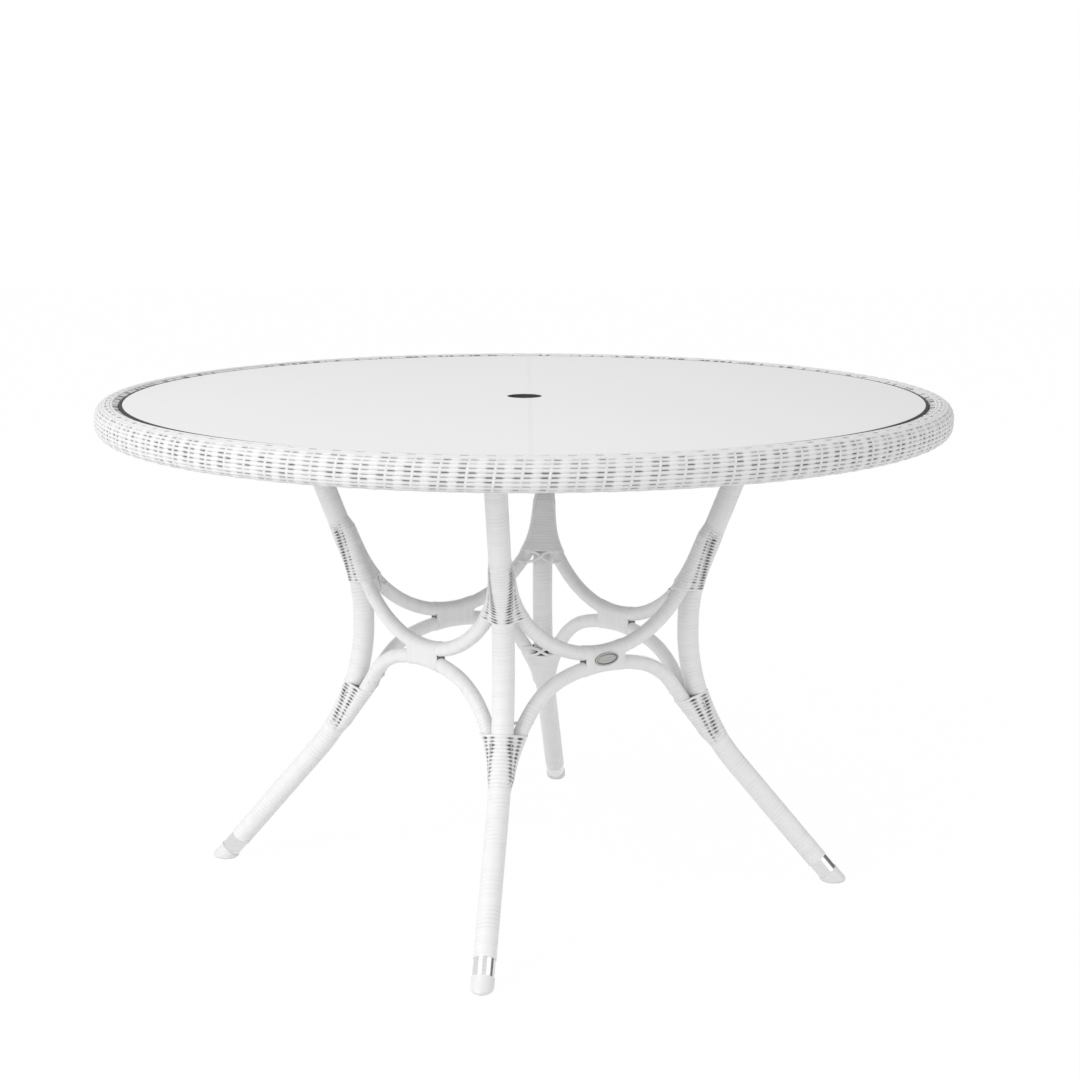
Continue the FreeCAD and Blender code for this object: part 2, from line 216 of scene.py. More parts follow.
class Finish:
    """The nodes of a material, or of the studio's background."""

    def __init__(self, owner):
        owner.use_nodes = True
        self.owner = owner
        self.tree = owner.node_tree
        self.tree.nodes.clear()

    def node(self, kind, settings=None, inputs=None, output=0):
        made = self.tree.nodes.new(kind)
        for key, value in (settings or {}).items():
            setattr(made, key, value)
        for key, value in (inputs or {}).items():
            if isinstance(value, Value):
                self.tree.links.new(value.socket, made.inputs[key])
            else:
                made.inputs[key].default_value = value
        return Value(self, made.outputs[output])

    def place(self):
        """The place on the piece, in metres from the floor under the table's axis."""
        return self.node("ShaderNodeTexCoord", output="Object")

    def round_axis(self):
        """The bearing round the table's axis, the reach from it, and the height."""
        x, y, z = self.parts(self.place())
        return y.maths("ARCTAN2", x), (x * x + y * y) ** 0.5, z

    def painted_shade(self):
        """How much shade the piece's own attribute paints at a place, most where it lies far down in a gap.
        """
        return self.node("ShaderNodeAttribute", {"attribute_name": "painted_shade"}, output="Fac")

    def parts(self, vector):
        split = self.node("ShaderNodeSeparateXYZ", None, {"Vector": vector})
        return [Value(self, output) for output in split.socket.node.outputs]

    def joined(self, x, y, z):
        return self.node("ShaderNodeCombineXYZ", None, {"X": x, "Y": y, "Z": z})

    def noise(self, vector, scale, detail=3.0):
        return self.node("ShaderNodeTexNoise", None, {"Vector": vector, "Scale": scale, "Detail": detail})

    def mix(self, factor, first, second):
        inputs = {0: factor, 6: first, 7: second}
        return self.node("ShaderNodeMix", {"data_type": "RGBA"}, inputs, output=2)

    def bump(self, height, strength, distance):
        return self.node("ShaderNodeBump", None,
                         {"Height": height, "Strength": strength, "Distance": distance})

    def surface(self, **sockets):
        inputs = {name.replace("_", " "): value for name, value in sockets.items()}
        shader = self.node("ShaderNodeBsdfPrincipled", None, inputs)
        return self.show(shader)

    def show(self, shader, kind="ShaderNodeOutputMaterial"):
        end = self.tree.nodes.new(kind)
        self.tree.links.new(shader.socket, end.inputs["Surface"])
        return self.owner

    def seen(self):
        """1 for what the camera sees, straight or in metal and glass, and 0 for light."""
        rays = self.node("ShaderNodeLightPath", output="Is Camera Ray")
        for name in ("Is Glossy Ray", "Is Transmission Ray"):
            rays = rays.maths("MAXIMUM", self.node("ShaderNodeLightPath", output=name))
        return rays


def grey(level):
    return (level, level, level, 1.0)


def material(name):
    return Finish(bpy.data.materials.new(name))


def peel_finish(name, light, dark, grime):
    """White peel: each turn a little lighter or darker, grime in some of the joints, and painted shade in the
    pits, lips and grooves of a binding.
    """
    finish = material(name)
    around, along, unused = finish.parts(finish.node("ShaderNodeTexCoord", output="UV"))
    turn = along - around
    tone = finish.node("ShaderNodeTexWhiteNoise", {"noise_dimensions": "1D"}, {"W": turn.floor()})
    grain = finish.noise(finish.joined(around * 6, along * 9, 0.0), 1.0)
    edge = abs(turn.fraction() - 0.5).smooth(0.36, 0.5)
    patch = finish.noise(finish.place(), 34.0, 1.0)
    joint = edge * (patch + tone * 0.3).smooth(0.62, 0.78) * grime
    clean = finish.mix(tone * 0.12 + grain * 0.14 + edge * 0.05, light, dark)
    worn = finish.mix(joint, clean, grey(0.30))
    # Painted shade, near black, where the piece's attribute marks a pit, a lip or a groove of a binding.
    return finish.surface(Base_Color=finish.mix(finish.painted_shade(), worn, grey(0.08)),
                          Roughness=grain * 0.14 + 0.44,
                          Normal=finish.bump(grain, 0.25, 0.0006))


def fibre_finish(name, light, dark):
    """White weaving fibre, with a faint streak along each strand and painted shade in the gaps and on each
    strand's inner half.
    """
    finish = material(name)
    bearing, reach, height = finish.round_axis()
    streak = finish.noise(finish.joined(bearing * 60, reach * 900, height * 900), 1.0)
    patch = finish.noise(finish.place(), 22.0, 2.0)
    clean = finish.mix(streak * 0.30 + patch * 0.14, light, dark)
    # Painted shade where the strands pinch apart and on their inner halves towards the padding.
    colour = finish.mix(finish.painted_shade(), clean, grey(0.20))
    return finish.surface(Base_Color=colour, Roughness=streak * 0.15 + 0.44,
                          Normal=finish.bump(streak, 0.3, 0.0006))


def core_finish():
    """The padding under the rim's strands, painted dark as the shade between them, with a pale wall towards
    the glass broken by painted specks of shade.
    """
    finish = material("rim_padding")
    bearing, reach, height = finish.round_axis()
    inside = 1 - reach.smooth(valley_radius, valley_radius + 0.0008)
    wall = inside * height.smooth(ledge_level - 0.0013, ledge_level - 0.0003)
    patch = finish.noise(finish.place(), 180.0, 2.0)
    # Painted shade: the padding is dark where it shows between the strands.
    shaded = finish.mix(patch, grey(0.12), grey(0.24))
    # Painted shade: dark specks on the pale wall beside the glass.
    shade_specks = finish.noise(finish.joined(bearing * 75, 0.0, height * 260), 1.0, 1.0).smooth(0.52, 0.60)
    facing_glass = finish.mix(shade_specks, grey(0.80), grey(0.22))
    return finish.surface(Base_Color=finish.mix(wall, shaded, facing_glass), Roughness=0.9)


def glass_finish():
    """Frosted pane: pale, with the painted faint shadow of a rail under it, painted dark round its edge for
    the shade of the gap to the rim together with its dark ground edge, painted dark in its hole for the shade
    there, and painted darker underneath as shade.
    """
    finish = material("frosted_pane")
    x, y, z = finish.parts(finish.place())
    reach = (x * x + y * y) ** 0.5
    cloud = finish.noise(finish.place(), 2.5, 2.0)
    # Painted shadow: a faint darker line where a rail lies under the pane.
    seam = 1 - abs(x - rail_shadow_place).smooth(*rail_shadow_width)
    speck = finish.noise(finish.place(), 900.0, 1.0)
    # Painted shade: the gap between the pane and the rim, with the pane's dark ground edge, and the bore of
    # its hole.
    edge_and_hole_shade = reach.smooth(*edge_shade_reach).maths("MAXIMUM", 1 - reach.smooth(*hole_shade_reach))
    pale = finish.mix(cloud * 0.30 + seam * 0.35, (0.810, 0.815, 0.806, 1.0),
                      (0.715, 0.725, 0.715, 1.0))
    # Painted shade: the underside darker, as it lies away from the light.
    below = 1 - z.smooth(*pane_underside)
    faced = finish.mix(below, pale, (0.40, 0.41, 0.40, 1.0))
    return finish.surface(Base_Color=finish.mix(edge_and_hole_shade, faced, (0.045, 0.055, 0.050, 1.0)),
                          Roughness=speck * 0.10 + edge_and_hole_shade * 0.55 + 0.28,
                          Normal=finish.bump(speck, 0.05, 0.0002),
                          Specular_IOR_Level=0.35)


def moulded_finish(name, light, dark, roughness):
    """Moulded or coated stock with a fine even texture."""
    finish = material(name)
    speck = finish.noise(finish.place(), 260.0)
    patch = finish.noise(finish.place(), 14.0, 2.0)
    colour = finish.mix(patch * 0.7 + speck * 0.3, light, dark)
    return finish.surface(Base_Color=colour, Roughness=speck * 0.12 + roughness,
                          Normal=finish.bump(speck, 0.15, 0.0004))


def metal_finish(name, colour, roughness):
    """Polished or plated metal with fine rubbing marks, and painted shade, near black, where the piece's
    attribute marks a groove.
    """
    finish = material(name)
    x, y, z = finish.parts(finish.place())
    rub = finish.noise(finish.joined(x * 60, y * 60, z * 1400), 1.0)
    darker = tuple(part * 0.72 for part in colour[:3]) + (1.0,)
    # Painted shade where the piece's attribute marks a groove.
    shown = finish.mix(finish.painted_shade(), finish.mix(rub, colour, darker), grey(0.04))
    return finish.surface(Base_Color=shown, Metallic=1.0, Roughness=rub * 0.12 + roughness)


def bend_angle(height):
    """The pole's lean at a height: below the waist it is the foot's, above it the head's."""
    if height < waist_bottom:
        return min(math.asin(min((waist_bottom - height) / foot_bend, 1.0)), foot_splay)
    return min(math.asin(min(max(height - waist_top, 0.0) / head_bend, 1.0)), head_splay)


def pole_reach(height):
    """The distance of the pole's centre line from the table's axis at a height."""
    lean = bend_angle(height)
    below = height < waist_bottom
    bend = foot_bend if below else head_bend
    rise = waist_bottom - height if below else max(height - waist_top, 0.0)
    return waist_radius + bend * (1 - math.cos(lean)) + (rise - bend * math.sin(lean)) * math.tan(lean)


def on_side(across, out, height):
    """A point by a side's own axes: across it, out from the table's axis, and up."""
    return Vector((across, -out, height))


def turned(points, angle):
    turn = Matrix.Rotation(angle, 3, "Z")
    return [turn @ point for point in points]


def arc(start, corner, end):
    """Points on the arc from start to end whose tangents there meet at the corner."""
    lean = (corner - start).angle(end - start, 0.0)
    weight = math.cos(lean)
    points = []
    for step in range(arc_steps):
        t = step / arc_steps
        shares = ((1 - t) ** 2, 2 * weight * t * (1 - t), t * t)
        points.append((start * shares[0] + corner * shares[1] + end * shares[2]) / sum(shares))
    return points


def biarc(start, start_way, end, end_way):
    """Points on two arcs that leave start and reach end in the given ways and meet smoothly."""
    span = end - start
    along = span.dot(start_way + end_way)
    spread = 2 * (1 - start_way.dot(end_way))
    if spread < 1e-9:
        reach = span.dot(span) / (4 * span.dot(end_way))
    else:
        reach = (math.sqrt(along * along + spread * span.dot(span)) - along) / spread
    first, second = start + start_way * reach, end - end_way * reach
    joint = (first + second) / 2
    return arc(start, first, joint) + arc(joint, second, end)


def lengths_along(points):
    """How far along a line each of its points lies."""
    lengths = [0.0]
    for a, b in zip(points, points[1:]):
        lengths.append(lengths[-1] + (b - a).length)
    return lengths


def way_at(points, place):
    """The way that a line runs at one of its points."""
    return (points[min(place + 1, len(points) - 1)] - points[max(place - 1, 0)]).normalized()


def evenly(points, spacing):
    """The same line with its points evenly spaced, about as far apart as asked."""
    lengths = lengths_along(points)
    count = max(2, round(lengths[-1] / spacing))
    made, place = [], 0
    for step in range(count + 1):
        want = lengths[-1] * step / count
        while place < len(points) - 2 and lengths[place + 1] < want:
            place += 1
        share = (want - lengths[place]) / (lengths[place + 1] - lengths[place])
        made.append(points[place].lerp(points[place + 1], share))
    return made


def pole_line():
    """The front pole's centre line, from above its collar to just past the base ring."""
    floor = Vector((0, -pole_reach(0.0), 0.0))
    start = floor + Vector((0, math.sin(foot_splay), math.cos(foot_splay))) * pole_foot_length
    top = head_level + pole_radius
    heights = [start.z + (top - start.z) * step / pole_steps for step in range(pole_steps + 1)]
    return [Vector((0, -pole_reach(height), height)) for height in heights]


def end_point(height, rising):
    """Where an arch's end lies against its pole, and the way it runs there."""
    lean = bend_angle(height)
    reach = pole_reach(height) - end_inset / math.cos(lean)
    half = math.sqrt(0.5)
    point = on_side((reach - end_spread) * half, (reach + end_spread) * half, height)
    return point, on_side(math.sin(lean) * half, math.sin(lean) * half, math.cos(lean) * rising)


def arch_line(crown, flank, flank_way, end, end_way):
    """Points along a symmetric arch, from one end over its crown to the other."""
    half = biarc(crown, Vector((1, 0, 0)), flank, flank_way) + biarc(flank, flank_way, end, end_way)
    half.append(end)
    other = [Vector((-point.x, point.y, point.z)) for point in reversed(half[1:])]
    return other + half


def upper_arch_line():
    level = side_height + rod_spacing / 2
    rise, reach = crown_radius * (1 - math.cos(crown_turn)), crown_radius * math.sin(crown_turn)
    flank = on_side(reach, side_reach + crown_lean, level + rise)
    way = on_side(math.cos(crown_turn), 0, math.sin(crown_turn))
    return arch_line(on_side(0, side_reach, level), flank, way, *end_point(upper_end_height, 1))


def lower_arch_line():
    level = side_height - rod_spacing / 2
    flank = on_side(lower_flank_reach, side_reach + crown_lean, level - lower_flank_drop)
    way = on_side(math.cos(lower_flank_turn), 0, -math.sin(lower_flank_turn))
    return arch_line(on_side(0, side_reach, level), flank, way, *end_point(lower_end_height, -1))


def finished(name, bm, look, nodes=(), body="table", smooth=True):
    """A piece from a bmesh, riding on its body with its material, in place of its nodes."""
    mesh = bpy.data.meshes.new(name)
    bm.to_mesh(mesh)
    bm.free()
    mesh.polygons.foreach_set("use_smooth", [smooth] * len(mesh.polygons))
    mesh.materials.append(look)
    piece = bpy.data.objects.new(name, mesh)
    bpy.context.scene.collection.objects.link(piece)
    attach(piece, body)
    if nodes:
        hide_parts(*nodes)
    return piece


def wound_skin(sections, turns):
    """A closed skin over rings of points, each point with how much shade is painted there.

    It starts as a flat sheet, whose UV runs once round and counts the turns along."""
    bm = bmesh.new()
    uv = bm.loops.layers.uv.new("UVMap")
    painted_shade = bm.verts.layers.float.new("painted_shade")
    count, last = len(sections[0]), len(sections) - 1
    bmesh.ops.create_grid(bm, x_segments=count, y_segments=last, size=1.0)
    place = {v: (round((v.co.y + 1) / 2 * last), round((v.co.x + 1) / 2 * count)) for v in bm.verts}
    for face in bm.faces:
        for loop in face.loops:
            row, column = place[loop.vert]
            loop[uv].uv = (column / count, turns[row])
    starts = {row: v for v, (row, column) in place.items() if column == 0}
    for vert, (row, column) in place.items():
        vert.co, vert[painted_shade] = sections[row][column % count]
    closing = {v: starts[row] for v, (row, column) in place.items() if column == count}
    bmesh.ops.weld_verts(bm, targetmap=closing)
    bmesh.ops.edgeloop_fill(bm, edges=[e for e in bm.edges if e.is_boundary])
    bmesh.ops.recalc_face_normals(bm, faces=bm.faces)
    return bm


def groove(turn, sharpness=8.0):
    """How deep in the groove between two turns a place lies: 1 at the bottom, 0 on the crown."""
    return abs(math.cos(math.pi * turn)) ** sharpness


def wound_tube(line, radius, pitch, sides):
    """A rod wound with peel along its line."""
    points = evenly(line, pitch / rings_per_turn)
    across = Vector((1, 0, 0))
    sections, turns = [], []
    for place, point in enumerate(points):
        way = way_at(points, place)
        across = (across - way * across.dot(way)).normalized()
        other = way.cross(across)
        turn = place / rings_per_turn
        section = []
        for side in range(sides):
            angle = 2 * math.pi * side / sides
            reach = radius - groove_depth * groove(turn - side / sides)
            section.append((point + (across * math.cos(angle) + other * math.sin(angle)) * reach, 0.0))
        sections.append(section)
        turns.append(turn)
    return wound_skin(sections, turns)


def crossing(points, origin, normal):
    """Where a line passes through a plane, and how much its slant widens a rod's section there."""
    heights = [(point - origin).dot(normal) for point in points]
    for (a, b), (high, low) in zip(zip(points, points[1:]), zip(heights, heights[1:])):
        if high * low <= 0 and high != low:
            return a + (b - a) * (high / (high - low)), (b - a).length / abs(high - low)
    return min(zip(points, heights), key=lambda pair: abs(pair[1]))[0], 1.0


def hull_points(pole_r, inset, spread, rod_r):
    """The tight outline round a pole and two rods: depth, across, and a count along it.

    The count is 0 where the outline leaves the pole and 1 where it meets a rod. Between the rods
    it is a large one, because a binding has no pits there."""
    gap = math.hypot(inset, spread)
    swing = math.atan2(spread, inset) + math.acos((pole_r - rod_r) / gap)
    half = []
    for step in range(24):
        angle = math.pi + (swing - math.pi) * step / 24
        half.append((pole_r * math.cos(angle), pole_r * math.sin(angle), (swing - angle) * 2 / math.pi))
    start = (pole_r * math.cos(swing), pole_r * math.sin(swing))
    end = (inset + rod_r * math.cos(swing), spread + rod_r * math.sin(swing))
    for step in range(18):
        share = step / 18
        depth, across = (a + (b - a) * share for a, b in zip(start, end))
        half.append((depth, across, share))
    for step in range(14):
        angle = swing * (1 - step / 14)
        share = 1 + (swing - angle) * 2 / math.pi
        half.append((inset + rod_r * math.cos(angle), spread + rod_r * math.sin(angle), share))
    for step in range(7):
        half.append((inset + rod_r, spread * (1 - step / 6), closed_count))
    other = [(depth, -across, share) for depth, across, share in reversed(half[1:-1])]
    return half + other


def drawn_in(mark, share):
    """A point of the outline, drawn in towards the pole where the binding runs out."""
    depth, across, free = mark
    reach = math.hypot(depth, across)
    shrink = (pole_radius + (reach - pole_radius) * share) / reach
    return depth * shrink, across * shrink, free


def spaced_outline(outline, count):
    """A closed outline, drawn again with evenly spaced points."""
    closed = outline + outline[:1]
    lengths = [0.0]
    for a, b in zip(closed, closed[1:]):
        lengths.append(lengths[-1] + math.hypot(b[0] - a[0], b[1] - a[1]))
    made, place = [], 0
    for step in range(count):
        want = lengths[-1] * step / count
        while lengths[place + 1] < want:
            place += 1
        share = (want - lengths[place]) / max(lengths[place + 1] - lengths[place], 1e-9)
        made.append(tuple(p + (q - p) * share for p, q in zip(closed[place], closed[place + 1])))
    return made


def outline_normals(outline):
    """The outward way at each point of an outline that runs clockwise seen from its plane's front."""
    normals = []
    for before, after in zip(outline[-1:] + outline[:-1], outline[1:] + outline[:1]):
        normals.append(Vector((-(after[1] - before[1]), after[0] - before[0])).normalized())
    middle = Vector((sum(p[0] for p in outline), sum(p[1] for p in outline))) / len(outline)
    outward = sum((Vector(p[:2]) - middle).dot(n) for p, n in zip(outline, normals))
    return normals if outward > 0 else [-normal for normal in normals]


def pit_at(share, strengths):
    """How open a binding is at a count along its outline: beside the pole, and beside a rod.

    The strengths are those of both pits, and how far the pole's is stretched on a short span."""
    beside_pole, beside_rod, stretch = strengths
    width = pit_width_by_pole * (stretch if share > 0 else 1.0)
    return (beside_pole * math.exp(-((share - pit_place_by_pole) / width) ** 2)
            + beside_rod * math.exp(-((share - pit_place_by_rod) / pit_width_by_rod) ** 2))


def binding_section(outline, place, turn, strengths, inset=0.0, shaded=0.0, depth=binding_groove):
    """One ring of a binding: strands over the hull, with pits where they span a gap, and at each point how
    much shade is painted there.
    """
    outline = spaced_outline(outline, binding_points)
    seam, opening = groove(turn, seam_sharpness), groove(turn, opening_sharpness)
    section = []
    for (first, second, share), normal in zip(outline, outline_normals(outline)):
        pit = opening * pit_at(share, strengths)
        room = 0.6 * binding_skin + pit_depth * min(1.0, 3 * max(0.0, min(share, 1 - share)))
        drop = depth * seam + min(pit_depth * pit, room) + inset
        point = place(first - normal[0] * drop, second - normal[1] * drop)
        # Painted shade: in the groove between strands, in the pits, and on a lip.
        section.append((point, min(1.0, groove_shade * depth * seam + pit_shade * pit + shaded)))
    return section


def rounded_edge(distance):
    """How far a binding's surface draws in close to its open end."""
    share = max(0.0, 1 - distance / lip_radius)
    return binding_skin * 0.8 * (1 - math.sqrt(1 - share * share))


def hull_at(line, height, grow):
    """A frame across the front pole at a height, with the outline of the pole and both rods."""
    lean = bend_angle(height) * (1 if height > waist_bottom else -1)
    origin = Vector((0, -pole_reach(height), height))
    inward = Vector((0, math.cos(lean), math.sin(lean)))
    point, slant = crossing(line, origin, Vector((0, -math.sin(lean), math.cos(lean))))
    rod = point - origin
    inset, spread = rod.dot(inward), abs(rod.x)
    outline = hull_points(pole_radius + grow, inset, spread, rod_radius * slant + grow)
    return origin, inward, inset, spread, outline


def pole_binding(line, ends, pitch, seed, rod_pits):
    """The peel bound round the front pole and the two arch ends beside it.

    It starts at its open end, with painted shade on a lip inside, and runs out on the pole."""
    draw = random.Random(seed)
    start, end = ends
    rings = max(2, round(abs(end - start) / pitch * binding_rings_per_turn))
    strengths = [(draw.uniform(*pit_strengths[0]), rod_pits * draw.uniform(*pit_strengths[1]))
                 for ring in range(rings + 1)]
    sections, turns = [], []
    for ring in range(rings + 1):
        height = start + (end - start) * ring / rings
        origin, inward, inset, spread, outline = hull_at(line, height, binding_skin)
        outline = [drawn_in(mark, min(1.0, abs(end - height) / binding_fade)) for mark in outline]
        span = math.sqrt(inset * inset + spread * spread - (pole_radius - rod_radius) ** 2)
        open_pole, open_rod = (max(0.0, (span - least) / more)
                               for least, more in (opening_by_pole, opening_by_rod))
        open_pole = min(1.0, open_pole, abs(end - height) / pit_fade)
        open_rod = min(open_pole, open_rod)

        def place(depth, across):
            return origin + inward * depth + Vector((across, 0, 0))

        turn = ring / binding_rings_per_turn
        by_pole, by_rod = strengths[round(turn)]
        pits = (open_pole * by_pole, open_rod * by_rod, max(1.0, pit_span / span))
        if ring <= binding_rings_per_turn // 2:
            pits = no_pits
        if ring == 0:
            sections.append(binding_section(outline, place, turn, no_pits, lip_depth, 1.0))
            turns.append(turn)
        edge = rounded_edge(abs(height - start))
        sections.append(binding_section(outline, place, turn, pits, edge))
        turns.append(turn)
    return wound_skin(sections, turns)


def softened(points, rounds):
    """A line with its corners cut off again and again."""
    for step in range(rounds):
        cut = [points[0]]
        for a, b in zip(points, points[1:]):
            cut += [a.lerp(b, 0.25), a.lerp(b, 0.75)]
        points = cut + [points[-1]]
    return points


def lashing(line, height, drop):
    """Two flat strands crossed over the gap between the rods, where a front binding opens."""
    strands = []
    for hand in (-1, 1):
        path = []
        for side, level in ((-hand, height), (hand, height - drop)):
            origin, inward, inset, spread, outline = hull_at(line, level, 0.0)
            reach = rod_radius + lashing_thickness / 2
            bends = [(inset + reach * deep, spread + reach * wide) for deep, wide in lashing_bends]
            bends.append((inset + reach * 0.9, spread * 0.35))
            made = [origin + inward * depth + Vector((side * across, 0, 0)) for depth, across in bends]
            path += made if not path else made[::-1]
        strands.append(flat_strand(evenly(softened(path, 3), lashing_spacing), hand * lashing_lift))
    joined = strands[0]
    extra = bpy.data.meshes.new("second_strand")
    strands[1].to_mesh(extra)
    joined.from_mesh(extra)
    bpy.data.meshes.remove(extra)
    return joined


def flat_strand(points, lift):
    """A flat strand along a line, broad across it and facing the table's axis."""
    sections, turns = [], []
    for place, point in enumerate(points):
        way = way_at(points, place)
        broad = way.cross(Vector((0, 1, 0.2)) + Vector((way.x, 0, 0)) * 0.01)
        broad = broad.normalized() if broad.length > 0.2 else Vector((0, 0, 1))
        thick = broad.cross(way)
        section = []
        for side in range(lashing_sides):
            angle = 2 * math.pi * side / lashing_sides
            offset = broad * (math.cos(angle) * lashing_width / 2)
            offset += thick * (math.sin(angle) * lashing_thickness / 2 + lift)
            section.append((point + offset, 0.0))
        sections.append(section)
        turns.append(place * 0.05)
    return wound_skin(sections, turns)


def side_outline(high, low, radius, dent):
    """The outline round two rods one above the other: height, out, and a count that has no pits."""
    points = []
    for hand in (1, -1):
        centre, other = (high, low) if hand > 0 else (low, high)
        for step in range(16):
            angle = math.pi * step / 15
            height, out = centre + hand * radius * math.sin(angle), -hand * radius * math.cos(angle)
            points.append((height, out, closed_count))
        for step in range(1, 8):
            share = step / 8
            out = radius - dent * math.sin(math.pi * share)
            points.append((centre + (other - centre) * share, hand * out, closed_count))
    return points


def side_binding(upper, lower):
    """The peel bound round both arches where they meet at the middle of the front side."""
    rings = round(2 * side_binding_reach / side_binding_pitch * binding_rings_per_turn)
    sections, turns = [], []
    for ring in range(rings + 1):
        across = side_binding_reach * (2 * ring / rings - 1)
        origin, normal = Vector((across, 0, 0)), Vector((1, 0, 0))
        high, high_slant = crossing(upper, origin, normal)
        low, low_slant = crossing(lower, origin, normal)
        radius = rod_radius * max(high_slant, low_slant) + binding_skin
        centre = (high + low) / 2

        def place(height, out):
            return Vector((across, centre.y - out, height))

        turn = ring / binding_rings_per_turn
        near_end = max(0.0, 1 - (side_binding_reach - abs(across)) / side_binding_fade)
        outline = side_outline(high.z, low.z, radius, side_binding_dent * near_end ** 2)
        edge = rounded_edge(side_binding_reach - abs(across))
        made = [binding_section(outline, place, turn, no_pits, edge, 0.0, side_binding_groove)]
        # The lip at each open end is painted dark as the shade inside.
        lip = binding_section(outline, place, turn, no_pits, lip_depth, 0.9, side_binding_groove)
        if ring == 0:
            made.insert(0, lip)
        if ring == rings:
            made.append(lip)
        sections += made
        turns += [turn] * len(made)
    return wound_skin(sections, turns)


def placed(name, source, angle, look, nodes=()):
    """A copy of a piece made at the front, turned to its own leg or side."""
    bm = source.copy()
    bmesh.ops.rotate(bm, cent=(0, 0, 0), matrix=Matrix.Rotation(angle, 3, "Z"), verts=bm.verts)
    return finished(name, bm, look, nodes)


def front_pole():
    bm = wound_tube(pole_line(), pole_radius, pole_pitch, pole_sides)
    cut = bmesh.ops.bisect_plane(bm, geom=bm.verts[:] + bm.edges[:] + bm.faces[:], clear_outer=True,
                                 plane_co=(0, 0, head_level), plane_no=(0, 0, 1))["geom_cut"]
    bmesh.ops.contextual_create(bm, geom=[e for e in cut if isinstance(e, bmesh.types.BMEdge)])
    return bm


def make_base(peel, bound):
    """The four poles, the eight arches and the twelve bindings."""
    upper, lower = upper_arch_line(), lower_arch_line()
    quarter = math.pi / 2
    near_pole = [p for p in turned(upper, quarter / 2) if abs(p.x) < -p.y]
    near_foot = [p for p in turned(lower, quarter / 2) if abs(p.x) < -p.y]
    pole = front_pole()
    high_binding = pole_binding(near_pole, upper_binding_ends, upper_binding_pitch,
                                upper_pit_seed, upper_rod_pits)
    low_binding = pole_binding(near_foot, lower_binding_ends, lower_binding_pitch,
                               lower_pit_seed, lower_rod_pits)
    high_lashing = lashing(near_pole, upper_binding_ends[0] - 0.001, lashing_drop)
    low_lashing = lashing(near_foot, lower_binding_ends[0] + 0.001, -lashing_drop)
    for place, leg in enumerate(LEGS):
        angle = base_turn + quarter * place
        placed("wound_leg_" + leg, pole, angle, peel, ["leg_" + leg])
        placed("upper_binding_peel_" + leg, high_binding, angle, bound,
               ["upper_binding_" + leg])
        placed("lower_binding_peel_" + leg, low_binding, angle, bound,
               ["lower_binding_" + leg])
        placed("upper_lashing_" + leg, high_lashing, angle, bound)
        placed("lower_lashing_" + leg, low_lashing, angle, bound)
    high_arch = wound_tube([p for p in upper if p.z < upper_binding_ends[1] - binding_fade],
                           rod_radius, rod_pitch, rod_sides)
    low_arch = wound_tube([p for p in lower if p.z > lower_binding_ends[1] + binding_fade],
                          rod_radius, rod_pitch, rod_sides)
    middle = side_binding(upper, lower)
    for place, side in enumerate(SIDES):
        angle = base_turn + quarter * (place + 0.5)
        placed("wound_upper_arch_" + side, high_arch, angle, peel, ["upper_arch_" + side])
        placed("wound_lower_arch_" + side, low_arch, angle, peel, ["lower_arch_" + side])
        placed("side_binding_peel_" + side, middle, angle, bound,
               ["side_binding_" + side])


def rim_outline():
    """The rim's section from the valley by the glass over the top and round to its ledge.

    Each point has its reach and height, and the way out of the surface there."""
    half = rim_size / 2
    centre = Vector((rim_radius - half, table_height - half))
    points = []
    for step in range(rim_outline_steps):
        angle = math.radians(180 - step * 360 / rim_outline_steps)
        x, y = math.cos(angle), math.sin(angle)
        shrink = (abs(x) ** rim_fullness + abs(y) ** rim_fullness) ** (-1 / rim_fullness)
        top = half - crown_drop if y > 0 else half
        points.append(centre + Vector((x * shrink * half, y * shrink * top)))
    outline = []
    for before, point, after in zip(points[-1:] + points[:-1], points, points[1:] + points[:1]):
        along = (after - before).normalized()
        outline.append((point, Vector((-along.y, along.x))))
    first = next(k for k, (p, way) in enumerate(outline) if p.y > centre.y and p.x >= valley_radius)
    last = next(k for k in range(rim_outline_steps - 1, 0, -1) if outline[k][0].y <= ledge_level)
    return outline[first:last]


def row_places(outline, counts):
    """The places on the rim's section at counts of rows from the glass, and the first row's width."""
    lengths = lengths_along([point for point, way in outline])
    edge = lengths[-1] - (rows - 1) * row_width
    made = []
    for count in counts:
        want = min(count * edge if count < 1 else edge + (count - 1) * row_width, lengths[-1])
        made.append(outline[next(k for k, length in enumerate(lengths) if length >= want - 1e-9)])
    return made, edge


def gap_at(boundary, step, strengths):
    """How far the strands on both sides of a row boundary leave it open, at a step round the rim.

    Each side of each stake has its own strength there."""
    share = step / group_steps + row_slant * (boundary - 0.5) + row_shift
    group = math.floor(share)
    offset = (share - group - 0.5) * 2 * math.pi * rim_radius / rim_groups
    strength = strengths[boundary][group % rim_groups][offset > 0]
    if boundary == border_row:
        return border_strength * strength if border_start < offset < border_end else 0.0
    if boundary < first_gap_row:
        return 0.0
    tail = min(1.0, max(0.0, (abs(offset) - gap_start) / (gap_end - gap_start)))
    return strength * (1 - tail * tail * (3 - 2 * tail))


